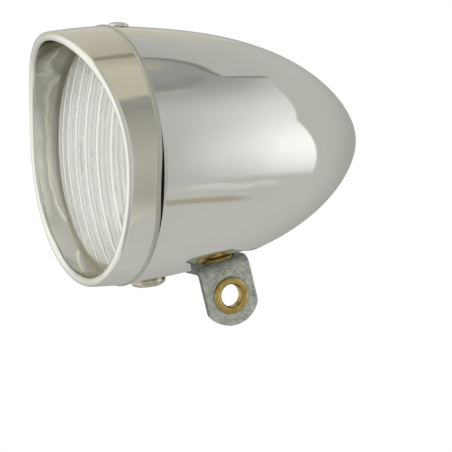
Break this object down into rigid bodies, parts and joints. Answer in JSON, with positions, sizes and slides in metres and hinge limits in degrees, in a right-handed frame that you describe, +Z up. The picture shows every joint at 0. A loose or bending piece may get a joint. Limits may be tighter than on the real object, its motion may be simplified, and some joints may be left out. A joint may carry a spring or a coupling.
{
  "type": "bicycle headlight",
  "caption": "Retro bullet-shaped chrome bicycle headlight with a hooded rim, domed fluted lens and a swivelling L-shaped bracket with brass eyelets.",
  "frame": {"origin": "centre of the bore of the eyelet in the bracket's leg, midway through the strip", "axes": "+X along the lamp's axis towards the rear, so the light shines towards -X; +Y across the lamp, from the leg's outer face inward; +Z up, with the lamp level"},
  "size_m": [0.0783, 0.062, 0.0729],
  "materials": {
    "chrome": "mirror chrome plate",
    "nickel": "nickel plate",
    "zinc_strip": "zinc plate with a faint spangle",
    "brass_bright": "polished brass",
    "brass_dull": "plain brass",
    "spring_steel": "hardened spring steel",
    "clear_glass": "clear",
    "silvered": "silvered reflector",
    "black_rubber": "matte",
    "fibre": "vulcanised fibre",
    "solder": "solder point in black glass",
    "filament_wire": "tungsten coil on a glass bead"
  },
  "bodies": {
    "bracket_body": {"bracket": "zinc_strip", "leg_eyelet": "brass_bright", "foot_eyelet": "brass_bright"},
    "housing_body": {"shell": "chrome", "top_rivet": "nickel", "top_catch": "spring_steel", "clamp_plate": "spring_steel", "pivot_tube": "brass_dull", "pivot_spacer": "brass_dull", "pivot_lock_washer": "spring_steel", "pivot_nut": "brass_dull"},
    "rim_body": {"rim": "chrome", "lens": "clear_glass", "lens_gasket": "black_rubber", "reflector": "silvered", "reflector_clips": "spring_steel", "socket_sleeve": "brass_dull", "socket_insulator": "fibre", "contact_spring": "spring_steel", "feed_terminal": "brass_dull"},
    "bulb_body": {"bulb_glass": "clear_glass", "bulb_cap": "brass_dull", "bulb_contact": "solder", "bulb_filament": "filament_wire"},
    "screw_body": {"rim_screw": "nickel"}
  },
  "joints": [
    {"name": "bracket_swivel", "type": "hinge", "parent": "bracket_body", "child": "housing_body", "pos_m": [-0.00045, 0.00585, 0.0084], "axis": [-0.213, 0, 0.977], "range_deg": [-20, 20]},
    {"name": "rim_swing", "type": "hinge", "parent": "housing_body", "child": "rim_body", "pos_m": [-0.02645, 0.00585, 0.06569], "axis": [0, 1, 0], "range_deg": [0, 38]},
    {"name": "rim_screw_turn", "type": "hinge", "parent": "housing_body", "child": "screw_body", "pos_m": [-0.01845, 0.00585, 0.00512], "axis": [0.0973, 0, -0.9953], "continuous": true},
    {"name": "bulb_turn", "type": "hinge", "parent": "rim_body", "child": "bulb_body", "pos_m": [-0.00645, 0.00585, 0.03469], "axis": [1, 0, 0], "continuous": true}
  ]
}
